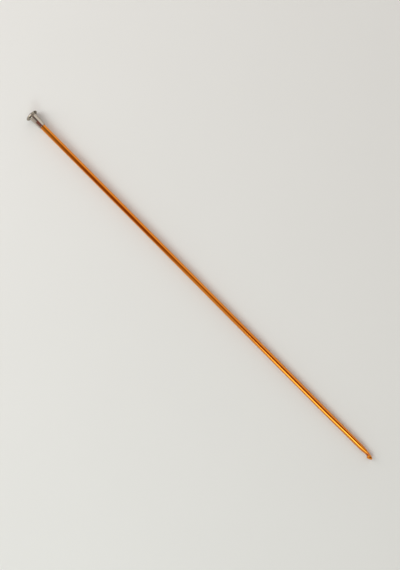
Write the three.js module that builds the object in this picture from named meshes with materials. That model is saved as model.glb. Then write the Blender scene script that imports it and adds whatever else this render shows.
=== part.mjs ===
// Tunisian crochet hook: a long anodised aluminium rod whose one end is shaped into a hook, with a
// nickel-plated stopper pressed on the other end, which keeps the row of loops on the rod.
//
// Sizes are in millimetres. The tool lies on its side along X, with the hook at +X, its mouth facing
// half-way between -Y and +Z, and the stopper's rim resting on Z = 0. Round sections have half a side of
// turn, so that a flat lies underneath.
import * as THREE from 'three';

const TOOL_LENGTH = 355.6;
const ROUND_SIDES = 40;

// The rod as drawn, before its end is shaped. Its plain end has a small chamfer inside the sleeve.
const ROD = {
  radius: 2.125,
  endChamfer: 0.35,
};

// The slow taper of the rod on its way to the head: the mouth side falls by the drop, while the flanks and
// the back stay straight, so that the tool still lies on a round stretch of rod.
const TAPER = {
  length: 40,
  drop: 0.6,
  stations: 8,
};

// The head, with distances measured back from the tip of the nose. Its back falls away before the nose.
const HEAD = {
  length: 14,
  backTurn: 5.4,
  backDrop: 0.8,
  backSlope: 0.3,
  noseShift: 0.85,
  noseRound: 0.8,
  noseHalfWidth: 1.72,
};

// The mouth: a long ramp down to the floor, a rounded corner, and the wall that leans forward to the
// lip. It is rolled up from -Y by a whole number of the round section's sides.
const MOUTH = {
  rollSides: 5,
  depth: 1.3,
  foot: 4.95,
  slope: 0.05,
  wallBase: 4.5,
  wallLean: 0.35,
  cornerDrop: 0.42,
  halfWidth: 1.5,
  squareness: 2.4,
};

// The lip stands a little past the rod's surface and has a rounded edge.
const LIP = {
  rise: 0.4,
  edgeRadius: 0.35,
  frontReach: 2.2,
};

// How far each curve's handle reaches, as a share of the distance that the curve crosses there
const PULL = {
  rampStart: 0.4,
  rampEnd: 0.35,
  foot: 0.6,
  wall: 0.36,
  nose: 0.45,
  front: 0.3,
};

// Steps along each pair of curves that bounds the head, and round each arc of the cap and the sleeve
const HEAD_STEPS = { ramp: 10, corner: 10, lip: 7, edge: 4 };
const CAP_STEPS = { dome: 5, rim: 4, roll: 6, hem: 4, insideRoll: 8, insideDome: 4 };
const SLEEVE_STEPS = { edge: 4, flare: 7, crimp: 4, lip: 4 };

// The sleeve: a thin tube crimped on the rod, flared out into a flange at the stopper's end.
const SLEEVE = {
  wall: 0.38,
  flareRadius: 0.85,
  crimpLength: 5,
};

// The cap: a thin domed disc whose rim rolls round the sleeve's flange and ends in a hem behind it.
const CAP = {
  wall: 0.35,
  rimRadius: 4.9,
  rimThickness: 2.2,
  domeRise: 0.85,
  coinRadius: 1.2,
  hemLap: 0.25,
};

// From the flat in the middle of the cap to the mouth of the sleeve
const STOPPER_LENGTH = 13;

const CLEARANCE = {
  bore: 0.25,
  crimp: 0.04,
  seat: 0.05,
};

const HALF_SIDE = Math.PI / ROUND_SIDES;
const ROLL = 2 * HALF_SIDE * MOUTH.rollSides;
const NOSE_X = TOOL_LENGTH / 2;
const FACE_X = -TOOL_LENGTH / 2;

const X_AXIS = new THREE.Vector3(1, 0, 0);

const lerp = THREE.MathUtils.lerp;

// A value that leaves `from` and arrives at `to` without a kink, for a share between 0 and 1
function ease(from, to, share) {
  return lerp(from, to, THREE.MathUtils.smoothstep(share, 0, 1));
}

function arc(centre, radius, startAngle, endAngle, steps) {
  const clockwise = endAngle < startAngle;
  const curve = new THREE.ArcCurve(centre.x, centre.y, radius, startAngle, endAngle, clockwise);
  return curve.getPoints(steps);
}

// The cap and the flange that it holds

const rim = {
  roll: CAP.rimThickness / 2,
  centreRadius: CAP.rimRadius - CAP.rimThickness / 2,
};

// The dome is the sphere that rises domeRise above the rim and runs into the rim's roll without a kink.
const dome = {};
dome.radius = ((rim.roll + CAP.domeRise) ** 2 + rim.centreRadius ** 2 - rim.roll ** 2) / (2 * CAP.domeRise);
dome.coinAngle = Math.asin(CAP.coinRadius / dome.radius);
dome.rimAngle = Math.asin(rim.centreRadius / (dome.radius - rim.roll));
dome.centreX = FACE_X + dome.radius * Math.cos(dome.coinAngle);
rim.centreX = dome.centreX - dome.radius + CAP.domeRise + rim.roll;

const flange = {
  backX: rim.centreX + rim.roll - CAP.wall - CLEARANCE.seat,
  radius: rim.centreRadius + SLEEVE.wall / 2,
};
flange.frontX = flange.backX - SLEEVE.wall;

// A point of the cap's outline: angle 0 looks out along -X, and a quarter turn looks away from the axis.
function capPoint(centreRadius, centreX, radius, angle) {
  return new THREE.Vector2(centreRadius + radius * Math.sin(angle), centreX - radius * Math.cos(angle));
}

function capArc(centreRadius, centreX, radius, fromAngle, toAngle, steps) {
  return Array.from({ length: steps + 1 }, (_, step) => {
    return capPoint(centreRadius, centreX, radius, lerp(fromAngle, toAngle, step / steps));
  });
}

// Turns an outline of (radius, x) points about the tool's axis.
function turned(outline) {
  const geometry = new THREE.LatheGeometry(outline, ROUND_SIDES, HALF_SIDE);
  geometry.rotateZ(-Math.PI / 2);
  return geometry;
}

function capGeometry() {
  const innerRoll = rim.roll - CAP.wall;
  const hemRadius = rim.centreRadius - CAP.hemLap;
  const hemCentre = new THREE.Vector2(hemRadius + CAP.wall / 2, rim.centreX + rim.roll - CAP.wall / 2);
  return turned([
    new THREE.Vector2(0, FACE_X),
    ...capArc(0, dome.centreX, dome.radius, dome.coinAngle, dome.rimAngle, CAP_STEPS.dome),
    ...capArc(rim.centreRadius, rim.centreX, rim.roll, dome.rimAngle, Math.PI / 2, CAP_STEPS.rim).slice(1),
    ...capArc(rim.centreRadius, rim.centreX, rim.roll, Math.PI / 2, Math.PI, CAP_STEPS.roll).slice(1),
    ...arc(hemCentre, CAP.wall / 2, Math.PI / 2, 1.5 * Math.PI, CAP_STEPS.hem),
    ...capArc(rim.centreRadius, rim.centreX, innerRoll, Math.PI, dome.rimAngle, CAP_STEPS.insideRoll),
    ...capArc(0, dome.centreX, dome.radius - CAP.wall, dome.rimAngle, 0, CAP_STEPS.insideDome).slice(1),
  ]);
}

// The sleeve, from the flange's front, round its edge, up the flare and tube, and back through the bore

function sleeveGeometry() {
  const boreRadius = ROD.radius + CLEARANCE.bore;
  const crimpRadius = ROD.radius + CLEARANCE.crimp;
  const flareCentre = new THREE.Vector2(boreRadius + SLEEVE.wall + SLEEVE.flareRadius, 0);
  flareCentre.y = flange.backX + SLEEVE.flareRadius;
  const edgeCentre = new THREE.Vector2(flange.radius - SLEEVE.wall / 2, flange.backX - SLEEVE.wall / 2);
  const lipX = FACE_X + STOPPER_LENGTH - SLEEVE.wall / 2;
  const lipCentre = new THREE.Vector2(crimpRadius + SLEEVE.wall / 2, lipX);

  // How the bore closes in on the rod, from the tube to the lip
  const bore = Array.from({ length: SLEEVE_STEPS.crimp + 1 }, (_, step) => {
    const share = step / SLEEVE_STEPS.crimp;
    return new THREE.Vector2(ease(boreRadius, crimpRadius, share), lipX - SLEEVE.crimpLength * (1 - share));
  });
  const tube = bore.map((point) => new THREE.Vector2(point.x + SLEEVE.wall, point.y));

  const outline = [
    ...arc(edgeCentre, SLEEVE.wall / 2, -Math.PI / 2, Math.PI / 2, SLEEVE_STEPS.edge),
    ...arc(flareCentre, SLEEVE.flareRadius, 1.5 * Math.PI, Math.PI, SLEEVE_STEPS.flare),
    ...tube.slice(0, -1),
    ...arc(lipCentre, SLEEVE.wall / 2, 0, Math.PI, SLEEVE_STEPS.lip),
    ...bore.slice(0, -1).reverse(),
    ...arc(flareCentre, SLEEVE.flareRadius + SLEEVE.wall, Math.PI, 1.5 * Math.PI, SLEEVE_STEPS.flare),
  ];
  return turned([...outline, outline[0].clone()]);
}

// The rod

// A point of the rod, with y running from the mouth's side to the back before the mouth is rolled up
function rolled(x, y, across) {
  return new THREE.Vector3(x, y, across).applyAxisAngle(X_AXIS, -ROLL);
}

// A section through the rod: it reaches from its mouth point to its back point, and `halfWidth` to both
// sides of the widest line between them. The squareness of an ellipse is 2, and more is a flatter side.
const ELLIPSE = 2;
const MIDDLE = 0.5;

function sectionRing(section) {
  const { mouth, back, halfWidth, widest, squareness } = section;
  const centre = mouth.clone().lerp(back, widest);
  return Array.from({ length: ROUND_SIDES }, (_, side) => {
    const angle = (2 * side + 1) * HALF_SIDE;
    const towardBack = Math.cos(angle) > 0;
    const power = towardBack ? 1 : 2 / squareness;
    const reach = Math.abs(Math.cos(angle)) ** power;
    const across = Math.sign(Math.sin(angle)) * Math.abs(Math.sin(angle)) ** power;
    const point = centre.clone().lerp(towardBack ? back : mouth, reach);
    return rolled(point.x, point.y, halfWidth * across);
  });
}

// Skins a row of rings, each closed on itself, and shuts both ends with a fan to a middle point.
function loft(rings, startPoint, endPoint) {
  const points = [...rings.flat(), startPoint, endPoint];
  const index = [];
  const start = points.length - 2;
  const end = points.length - 1;
  const last = (rings.length - 1) * ROUND_SIDES;
  for (let side = 0; side < ROUND_SIDES; side += 1) {
    const next = (side + 1) % ROUND_SIDES;
    for (let ring = 0; ring < last; ring += ROUND_SIDES) {
      const [a, b] = [ring + side, ring + next];
      const [c, d] = [a + ROUND_SIDES, b + ROUND_SIDES];
      index.push(a, b, d, a, d, c);
    }
    index.push(start, next, side, end, last + side, last + next);
  }
  const geometry = new THREE.BufferGeometry().setFromPoints(points);
  geometry.setIndex(index);
  geometry.computeVertexNormals();
  return geometry;
}

function onAxis(x) {
  return new THREE.Vector3(x, 0, 0);
}

// A section of the shaft, a share of the way along the taper. Its widest line stays on the tool's axis.
function shaftSection(x, taperShare, radius = ROD.radius) {
  const drop = ease(0, TAPER.drop, taperShare);
  return {
    mouth: new THREE.Vector2(x, drop - radius),
    back: new THREE.Vector2(x, radius),
    halfWidth: radius,
    widest: (radius - drop) / (2 * radius - drop),
    squareness: ELLIPSE,
  };
}

function shaftGeometry() {
  const startX = flange.frontX;
  const endX = NOSE_X - HEAD.length;
  const sections = [
    shaftSection(startX, 0, ROD.radius - ROD.endChamfer),
    shaftSection(startX + ROD.endChamfer, 0),
  ];
  for (let station = 0; station <= TAPER.stations; station += 1) {
    const share = station / TAPER.stations;
    sections.push(shaftSection(endX - TAPER.length * (1 - share), share));
  }
  return loft(sections.map(sectionRing), onAxis(startX), onAxis(endX));
}

// The head is bounded by two rows of curves that match one to one: down the ramp, through the corner, up
// the wall and to the lip's edge on the mouth side; and along the back, round the nose and under the lip
// to the same edge. Sections run between them, like the joints of a bent finger.
function headCurves() {
  const at = (backFromNose, y) => [NOSE_X - backFromNose, y];
  const startY = TAPER.drop - ROD.radius;
  const floorY = MOUTH.depth - ROD.radius;
  const cornerY = floorY - MOUTH.cornerDrop;
  const lipY = -ROD.radius - LIP.rise;
  const edgeY = lipY + LIP.edgeRadius;
  const wallTop = MOUTH.wallBase - MOUTH.wallLean;
  const edgeArc = [...at(wallTop - LIP.edgeRadius, edgeY), LIP.edgeRadius];

  const rampLength = HEAD.length - MOUTH.foot;
  const rampPull = PULL.rampEnd * rampLength;
  const footPull = PULL.foot * (MOUTH.foot - MOUTH.wallBase);
  const wallPull = PULL.wall * (edgeY - cornerY);
  const mouthSide = new THREE.Path();
  mouthSide.moveTo(...at(HEAD.length, startY));
  mouthSide.bezierCurveTo(
    ...at(HEAD.length - PULL.rampStart * rampLength, startY),
    ...at(MOUTH.foot + rampPull, floorY - MOUTH.slope * rampPull),
    ...at(MOUTH.foot, floorY),
  );
  mouthSide.bezierCurveTo(
    ...at(MOUTH.foot - footPull, floorY + MOUTH.slope * footPull),
    ...at(MOUTH.wallBase, cornerY + PULL.foot * MOUTH.cornerDrop),
    ...at(MOUTH.wallBase, cornerY),
  );
  mouthSide.bezierCurveTo(
    ...at(MOUTH.wallBase, cornerY + wallPull),
    ...at(wallTop, edgeY - wallPull),
    ...at(wallTop, edgeY),
  );
  mouthSide.absarc(...edgeArc, Math.PI, 1.25 * Math.PI, false);

  const turnY = ROD.radius - HEAD.backDrop;
  const backLength = HEAD.length - HEAD.backTurn;
  const backPull = PULL.rampEnd * backLength;
  const nosePull = PULL.nose * HEAD.backTurn;
  const backSide = new THREE.Path();
  backSide.moveTo(...at(HEAD.length, ROD.radius));
  backSide.bezierCurveTo(
    ...at(HEAD.length - PULL.rampStart * backLength, ROD.radius),
    ...at(HEAD.backTurn + backPull, turnY + HEAD.backSlope * backPull),
    ...at(HEAD.backTurn, turnY),
  );
  backSide.bezierCurveTo(
    ...at(HEAD.backTurn - nosePull, turnY - HEAD.backSlope * nosePull),
    ...at(0, HEAD.noseRound - HEAD.noseShift),
    ...at(0, -HEAD.noseShift),
  );
  backSide.bezierCurveTo(
    ...at(0, lerp(-HEAD.noseShift, lipY, PULL.front)),
    ...at(LIP.frontReach, lipY),
    ...at(wallTop - LIP.edgeRadius, lipY),
  );
  backSide.absarc(...edgeArc, 1.5 * Math.PI, 1.25 * Math.PI, true);

  return mouthSide.curves.map((curve, place) => [curve, backSide.curves[place]]);
}

// Half widths, widest lines and squareness at a share of the way along each stretch of the head. The
// lip's outline, seen from the mouth, is half an ellipse that starts at the wall's foot.
const LIP_WALL_SHARE = 0.85;
const THROAT_WIDEST = 0.36;
const NOSE_WIDEST = 0.4;

function lipWidth(share) {
  return HEAD.noseHalfWidth * Math.sqrt(Math.max(0, 1 - share ** 2));
}

const taperEnd = shaftSection(0, 1);

const HEAD_FORM = {
  ramp: (share) => [
    ease(taperEnd.halfWidth, MOUTH.halfWidth, share),
    ease(taperEnd.widest, THROAT_WIDEST, share),
    ease(taperEnd.squareness, MOUTH.squareness, share),
  ],
  corner: (share) => [
    ease(MOUTH.halfWidth, HEAD.noseHalfWidth, share),
    ease(THROAT_WIDEST, NOSE_WIDEST, share),
    MOUTH.squareness,
  ],
  lip: (share) => [
    lipWidth(share * LIP_WALL_SHARE),
    ease(NOSE_WIDEST, MIDDLE, share),
    ease(MOUTH.squareness, ELLIPSE, share),
  ],
  edge: (share) => [lipWidth(lerp(LIP_WALL_SHARE, 1, share)), MIDDLE, ELLIPSE],
};

function headGeometry() {
  const curves = headCurves();
  const sections = [];
  Object.entries(HEAD_STEPS).forEach(([stretch, steps], place) => {
    const [mouthCurve, backCurve] = curves[place];
    const first = place === 0 ? 0 : 1;
    for (let step = first; step <= steps; step += 1) {
      const share = stretch === 'edge' ? Math.sin((Math.PI / 2) * (step / steps)) : step / steps;
      const [halfWidth, widest, squareness] = HEAD_FORM[stretch](share);
      sections.push({
        mouth: mouthCurve.getPoint(share),
        back: backCurve.getPoint(share),
        halfWidth,
        widest,
        squareness,
      });
    }
  });
  const tip = sections.pop().mouth;
  return loft(sections.map(sectionRing), onAxis(NOSE_X - HEAD.length), rolled(tip.x, tip.y, 0));
}

const ANODISED = new THREE.MeshStandardMaterial({ color: 0xcd6e26, metalness: 1, roughness: 0.34 });
const NICKEL = new THREE.MeshStandardMaterial({ color: 0xc9c5bc, metalness: 1, roughness: 0.2 });

function named(name, geometry, material) {
  const mesh = new THREE.Mesh(geometry, material);
  mesh.name = name;
  return mesh;
}

const tool = new THREE.Group();
tool.name = 'tunisian_crochet_hook';
tool.position.z = CAP.rimRadius * Math.cos(HALF_SIDE);
tool.add(
  named('hook_shaft', shaftGeometry(), ANODISED),
  named('hook_head', headGeometry(), ANODISED),
  named('stopper_sleeve', sleeveGeometry(), NICKEL),
  named('stopper_cap', capGeometry(), NICKEL),
);

export default tool;
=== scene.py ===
"""Tunisian crochet hook, the visual model.

An orange anodised rod with its hook at +X, and a nickel-plated stopper, a crimped sleeve with a domed
cap, on its other end. The tool lies on its side on a pale floor, under soft studio light, and is seen
from straight above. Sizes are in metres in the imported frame: X along the tool, Z up, and the mouth of
the hook half-way between -Y and +Z.
"""
import logging
import math
from dataclasses import dataclass, fields
from enum import Enum

import bpy
import numpy as np
from mathutils import Matrix, Vector


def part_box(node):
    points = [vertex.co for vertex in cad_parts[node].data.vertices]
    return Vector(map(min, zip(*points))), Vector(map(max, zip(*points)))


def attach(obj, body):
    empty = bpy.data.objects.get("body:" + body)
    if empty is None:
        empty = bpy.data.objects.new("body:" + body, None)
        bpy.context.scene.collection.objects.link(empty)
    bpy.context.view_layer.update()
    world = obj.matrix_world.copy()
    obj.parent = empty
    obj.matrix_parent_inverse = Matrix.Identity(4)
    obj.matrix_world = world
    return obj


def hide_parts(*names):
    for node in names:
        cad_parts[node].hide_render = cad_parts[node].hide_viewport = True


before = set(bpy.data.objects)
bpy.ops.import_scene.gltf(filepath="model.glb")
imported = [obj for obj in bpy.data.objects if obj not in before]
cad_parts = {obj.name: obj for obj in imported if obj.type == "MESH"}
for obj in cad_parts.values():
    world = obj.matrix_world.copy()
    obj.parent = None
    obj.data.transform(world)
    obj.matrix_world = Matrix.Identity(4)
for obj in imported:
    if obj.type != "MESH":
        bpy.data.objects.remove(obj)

MM = 0.001
LOG = logging.getLogger("crochet_hook")

Colour = tuple[float, float, float]
Socket = bpy.types.NodeSocket
Outline = list[tuple[np.ndarray, np.ndarray | float]]


class Slot(Enum):
    """The record's material slots."""

    ROD = "anodised_rod"
    STOPPER = "nickel_plate"


class Mark(Enum):
    """Attributes that a mesh carries for its material, each a share from 0 to 1."""

    WEAR = "wear"
    # Painted shade: how deep in a corner, a crevice or the throat a point lies, for the finishes to
    # darken.
    SHADE = "shade"


# Curves and surfaces


def ease(start: float, end: float, share: np.ndarray) -> np.ndarray:
    """Go from start to end without a kink as the share s goes from 0 to 1: by s * s * (3 - 2 s)."""
    s = np.clip(share, 0.0, 1.0)
    return start + (end - start) * s * s * (3.0 - 2.0 * s)


def bezier(points: tuple[tuple[float, float], ...], share: np.ndarray) -> np.ndarray:
    """Return the points of a cubic curve, given by its start, two handles and end, at each share t."""
    t = share[:, None]
    a, b, c, d = (np.array(point) for point in points)
    return (1 - t) ** 3 * a + 3 * (1 - t) ** 2 * t * b + 3 * (1 - t) * t**2 * c + t**3 * d


def circle(centre: tuple[float, float], radius: float, angle: np.ndarray) -> np.ndarray:
    """Return points on a circle: centre + radius * (cos, sin) of each angle."""
    return np.array(centre) + radius * np.stack([np.cos(angle), np.sin(angle)], axis=1)


def arc(centre: tuple[float, float], radius: float, start: float, end: float, steps: int) -> np.ndarray:
    """Return steps + 1 points on a circle whose angle goes evenly from start to end."""
    return circle(centre, radius, np.linspace(start, end, steps + 1))


def even_shares(steps: int) -> np.ndarray:
    """Return steps + 1 even shares from 0 to 1."""
    return np.linspace(0.0, 1.0, steps + 1)


def round_angles(sides: int) -> np.ndarray:
    """Return even angles round a full turn, from 0."""
    return np.linspace(0.0, 2.0 * np.pi, sides, endpoint=False)


def skin(
    name: str,
    rings: np.ndarray,
    start_pole: np.ndarray | None = None,
    end_pole: np.ndarray | None = None,
    closed: bool = False,
) -> bpy.types.Mesh:
    """Join neighbouring points of a grid of rings by quads, and shut its ends with fans to a pole.

    Args:
        name: Name of the mesh.
        rings: Points as rings x sides x 3. Each ring closes on itself.
        start_pole: Point that shuts the first ring.
        end_pole: Point that shuts the last ring.
        closed: Whether the last ring joins the first.

    Returns:
        The smooth-shaded mesh.
    """
    count, sides = rings.shape[:2]
    ring = np.arange(count if closed else count - 1)[:, None]
    side = np.arange(sides)[None, :]
    next_ring = (ring + 1) % count
    next_side = (side + 1) % sides
    first, second = (row * sides for row in (ring, next_ring))
    corners_of_quad = (first + side, first + next_side, second + next_side, second + side)
    quads = np.stack(corners_of_quad, axis=-1).reshape(-1, 4)
    points = [rings.reshape(-1, 3)]
    faces = quads.tolist()
    one = np.arange(sides)
    other = (one + 1) % sides
    last = (count - 1) * sides
    made = count * sides
    for pole, fan in ((start_pole, (other, one)), (end_pole, (last + one, last + other))):
        if pole is not None:
            points.append(pole[None, :])
            faces += np.stack([np.full(sides, made), *fan], axis=1).tolist()
            made += 1
    mesh = bpy.data.meshes.new(name)
    mesh.from_pydata(np.concatenate(points).tolist(), [], faces)
    mesh.polygons.foreach_set("use_smooth", np.ones(len(faces), dtype=bool))
    mesh.update()
    return mesh


def mark(mesh: bpy.types.Mesh, name: Mark, shares: np.ndarray) -> None:
    """Store a share on each point of a skinned mesh, and on its poles the mean of the last ring's."""
    values = np.full(len(mesh.vertices), shares[-1].mean())
    values[: shares.size] = shares.ravel()
    mesh.attributes.new(name.value, "FLOAT", "POINT").data.foreach_set("value", values)


def revolve(outline: np.ndarray, axis_z: float, sides: int) -> np.ndarray:
    """Carry each (r, x) of an outline round the axis: (x, r cos a, axis_z + r sin a) for each angle a."""
    angle = round_angles(sides)[None, :]
    radius = outline[:, :1]
    x = np.broadcast_to(outline[:, 1:], (len(outline), sides))
    return np.stack([x, radius * np.cos(angle), axis_z + radius * np.sin(angle)], axis=-1)


def in_scene(name: str, data: bpy.types.ID) -> bpy.types.Object:
    """Make an object of a mesh, a lamp or a camera, and put it in the scene."""
    made = bpy.data.objects.new(name, data)
    bpy.context.scene.collection.objects.link(made)
    return made


# Node helpers


class NodeBoard:
    """A node tree with short calls for making and joining nodes."""

    def __init__(self, tree: bpy.types.NodeTree) -> None:
        """Take the tree that the nodes go into."""
        self.tree = tree

    def add(self, kind: str, settings: dict | None = None, **inputs: object) -> bpy.types.Node:
        """Make a node, set its properties, and set or link its inputs.

        Args:
            kind: Blender's type name of the node.
            settings: Properties of the node by name.
            inputs: Values or sockets by input name, with _ for a space, or i0, i1 for a place.

        Returns:
            The node.
        """
        node = self.tree.nodes.new(kind)
        for name, value in (settings or {}).items():
            setattr(node, name, value)
        self.join(node, **inputs)
        return node

    def join(self, node: bpy.types.Node, **inputs: object) -> None:
        """Set or link a node's inputs, named as in add. A colour is opaque."""
        for name, value in inputs.items():
            place = int(name[1:]) if name[0] == "i" and name[1:].isdigit() else name.replace("_", " ")
            socket = node.inputs[place]
            if isinstance(value, bpy.types.NodeSocket):
                self.tree.links.new(value, socket)
            else:
                socket.default_value = (*value, 1.0) if socket.type == "RGBA" else value

    def math(self, operation: str, a: object, b: object = 0.0, c: object = 0.0) -> Socket:
        """Return the result of a Math node."""
        return self.add("ShaderNodeMath", {"operation": operation}, i0=a, i1=b, i2=c).outputs[0]

    def product(self, a: object, b: object) -> Socket:
        """Return one value times another."""
        return self.math("MULTIPLY", a, b)

    def raised(self, start: object, *parts: tuple[object, float]) -> Socket:
        """Return a start value plus each mask times its weight."""
        for mask, weight in parts:
            start = self.math("MULTIPLY_ADD", mask, weight, start)
        return start

    def scaled(self, vector: object, by: object) -> Socket:
        """Return a vector multiplied, axis by axis, by another."""
        return self.add("ShaderNodeVectorMath", {"operation": "MULTIPLY"}, i0=vector, i1=by).outputs[0]

    def noise(self, vector: Socket, scale: object, detail: float = 2.0, roughness: float = 0.5) -> Socket:
        """Return the value of a noise pattern."""
        inputs = {"Vector": vector, "Scale": scale, "Detail": detail, "Roughness": roughness}
        return self.add("ShaderNodeTexNoise", **inputs).outputs[0]

    def ranged(
        self, value: object, low: object, high: object, to_low: object = 0.0, to_high: object = 1.0
    ) -> Socket:
        """Return a value carried smoothly from the range low to high to another one."""
        inputs = {"From_Min": low, "From_Max": high, "To_Min": to_low, "To_Max": to_high}
        smooth = {"interpolation_type": "SMOOTHSTEP"}
        return self.add("ShaderNodeMapRange", smooth, Value=value, **inputs).outputs[0]

    def marked(self, name: Mark) -> Socket:
        """Return a mark that the mesh carries."""
        return self.add("ShaderNodeAttribute", {"attribute_name": name.value}).outputs["Fac"]

    def centred(self, middle: Vector) -> Socket:
        """Return Object coordinates measured from a point."""
        place = self.add("ShaderNodeTexCoord").outputs["Object"]
        return self.add("ShaderNodeMapping", Vector=place, Location=-middle).outputs[0]

    def group(self, tree: bpy.types.NodeTree, **inputs: object) -> dict[str, Socket]:
        """Place a node group, and return its outputs by name."""
        return dict(self.add("ShaderNodeGroup", {"node_tree": tree}, **inputs).outputs.items())

    def bump(self, shader: bpy.types.Node, height: Socket, strength: float, depth: float) -> None:
        """Give a shader the bump of a height pattern."""
        bump = self.add("ShaderNodeBump", Strength=strength, Distance=depth, Height=height)
        self.join(shader, Normal=bump.outputs["Normal"])

    def mixed(self, share: object, a: object, b: object) -> Socket:
        """Return two colours mixed by a share."""
        return self.add("ShaderNodeMix", {"data_type": "RGBA"}, i0=share, i6=a, i7=b).outputs[2]


def new_group(
    name: str, inputs: dict[str, tuple[str, object]], outputs: list[str]
) -> tuple[NodeBoard, dict[str, Socket], bpy.types.Node]:
    """Make a shader node group that puts out plain values.

    Args:
        name: Name of the group.
        inputs: Socket kind and default by name.
        outputs: Names of the outputs.

    Returns:
        The group's board, its own inputs by name, and its Group Output.
    """
    tree = bpy.data.node_groups.new(name, "ShaderNodeTree")
    for label, (kind, default) in inputs.items():
        socket = tree.interface.new_socket(label, in_out="INPUT", socket_type=f"NodeSocket{kind}")
        if default is not None:
            socket.default_value = default
    for label in outputs:
        tree.interface.new_socket(label, in_out="OUTPUT", socket_type="NodeSocketFloat")
    start = tree.nodes.new("NodeGroupInput").outputs
    return NodeBoard(tree), dict(start.items()), tree.nodes.new("NodeGroupOutput")


def new_material(name: str) -> tuple[bpy.types.Material, NodeBoard, bpy.types.Node]:
    """Make a material, and return it with its board and its Principled BSDF."""
    material = bpy.data.materials.new(name)
    material.use_nodes = True
    board = NodeBoard(material.node_tree)
    return material, board, board.tree.nodes["Principled BSDF"]


class Effects:
    """The shared surface effects, each a node group that is built once.

    Scales are in cells per metre. The weights say how strongly a second pattern adds to the first.
    """

    WIDE_STREAKS = 0.6
    RING_BREAKS = 0.12
    HAIR_TURN = (0.5, 0.35, 0.6)
    HAIR_SCALE = (350.0, 2600.0, 900.0)
    HAIR_WIDTH = 0.006
    RAGGED_EDGE = 0.22

    def __init__(self) -> None:
        """Build every group."""
        self.drawn_grain = self._drawn_grain()
        self.spun_rings = self._spun_rings()
        self.handling = self._handling()
        self.patches = self._patches()

    @staticmethod
    def _drawn_grain() -> bpy.types.NodeTree:
        """Fine lines along the tool, as a drawing die leaves them.

        The place is stretched by Along in X and by Across in Y and Z, so noise becomes long streaks.
        Two sizes of streak are added up.

        Returns:
            The group, with Height for bump and Streak for colour and gloss.
        """
        inputs = {"Vector": ("Vector", None), "Along": ("Float", 30.0), "Across": ("Float", 5000.0)}
        board, start, end = new_group("drawn_grain", inputs, ["Height", "Streak"])
        across = start["Across"]
        stretch = board.add("ShaderNodeCombineXYZ", X=start["Along"], Y=across, Z=across)
        place = board.scaled(start["Vector"], stretch.outputs[0])
        fine = board.noise(place, scale=1.0, detail=3.0, roughness=0.6)
        wide = board.noise(place, scale=0.22, detail=2.0, roughness=0.5)
        height = board.raised(fine, (wide, Effects.WIDE_STREAKS))
        board.join(end, Height=height, Streak=board.ranged(wide, low=0.36, high=0.64))
        return board.tree

    @staticmethod
    def _spun_rings() -> bpy.types.NodeTree:
        """Fine rings round the tool's axis, as polishing on a spindle leaves them.

        The pattern reads only x and the distance from the axis, and a little noise breaks the rings.

        Returns:
            The group, with Height for bump.
        """
        inputs = {"Vector": ("Vector", None), "Scale": ("Float", 6000.0)}
        board, start, end = new_group("spun_rings", inputs, ["Height"])
        vector = start["Vector"]
        parts = board.add("ShaderNodeSeparateXYZ", Vector=vector)
        flat = board.scaled(vector, (0.0, 1.0, 1.0))
        radius = board.add("ShaderNodeVectorMath", {"operation": "LENGTH"}, i0=flat).outputs["Value"]
        ringed = board.add("ShaderNodeCombineXYZ", X=parts.outputs["X"], Y=radius)
        lines = board.noise(ringed.outputs[0], start["Scale"], detail=2.0, roughness=0.6)
        breaks = board.noise(vector, scale=900.0, detail=1.0)
        board.join(end, Height=board.raised(lines, (breaks, Effects.RING_BREAKS)))
        return board.tree

    @staticmethod
    def _handling() -> bpy.types.NodeTree:
        """Marks of use: soft smudges from fingers, and hairline scratches.

        A smudge is broad noise times finer noise. A scratch is where a stretched noise passes its
        middle value, kept only where a second noise is high.

        Returns:
            The group, with Smudge and Scratch masks.
        """
        inputs = {"Vector": ("Vector", None), "Scratches": ("Float", 0.5)}
        board, start, end = new_group("handling_marks", inputs, ["Smudge", "Scratch"])
        vector = start["Vector"]
        broad = board.noise(vector, scale=70.0, detail=3.0, roughness=0.6)
        ridges = board.noise(vector, scale=900.0, detail=3.0, roughness=0.7)
        touched = board.ranged(broad, low=0.42, high=0.62)
        printed = board.ranged(ridges, low=0.35, high=0.65, to_low=0.45)
        turn = {"Rotation": Effects.HAIR_TURN, "Scale": Effects.HAIR_SCALE}
        turned = board.add("ShaderNodeMapping", Vector=vector, **turn).outputs[0]
        from_middle = board.math("SUBTRACT", board.noise(turned, scale=1.0, detail=1.0), 0.5)
        hair = board.math("ABSOLUTE", from_middle)
        thin = board.ranged(hair, low=0.0, high=Effects.HAIR_WIDTH, to_low=1.0, to_high=0.0)
        here = board.noise(vector, scale=260.0)
        kept = board.ranged(here, low=0.5, high=0.62, to_high=start["Scratches"])
        board.join(end, Smudge=board.product(touched, printed), Scratch=board.product(thin, kept))
        return board.tree

    @staticmethod
    def _patches() -> bpy.types.NodeTree:
        """A mask with a ragged edge: where Mask plus noise passes Threshold.

        Returns:
            The group, with the ragged Mask.
        """
        amounts = {"Mask": ("Float", 0.0), "Scale": ("Float", 2500.0), "Threshold": ("Float", 0.8)}
        board, start, end = new_group("patchy_mask", {"Vector": ("Vector", None), **amounts}, ["Mask"])
        noise = board.noise(start["Vector"], start["Scale"], detail=4.0, roughness=0.65)
        raised = board.math("ADD", start["Mask"], board.math("SUBTRACT", noise, 0.5))
        limit = start["Threshold"]
        edge = board.math("ADD", limit, Effects.RAGGED_EDGE)
        board.join(end, Mask=board.ranged(raised, limit, edge))
        return board.tree


# Finishes


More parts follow.
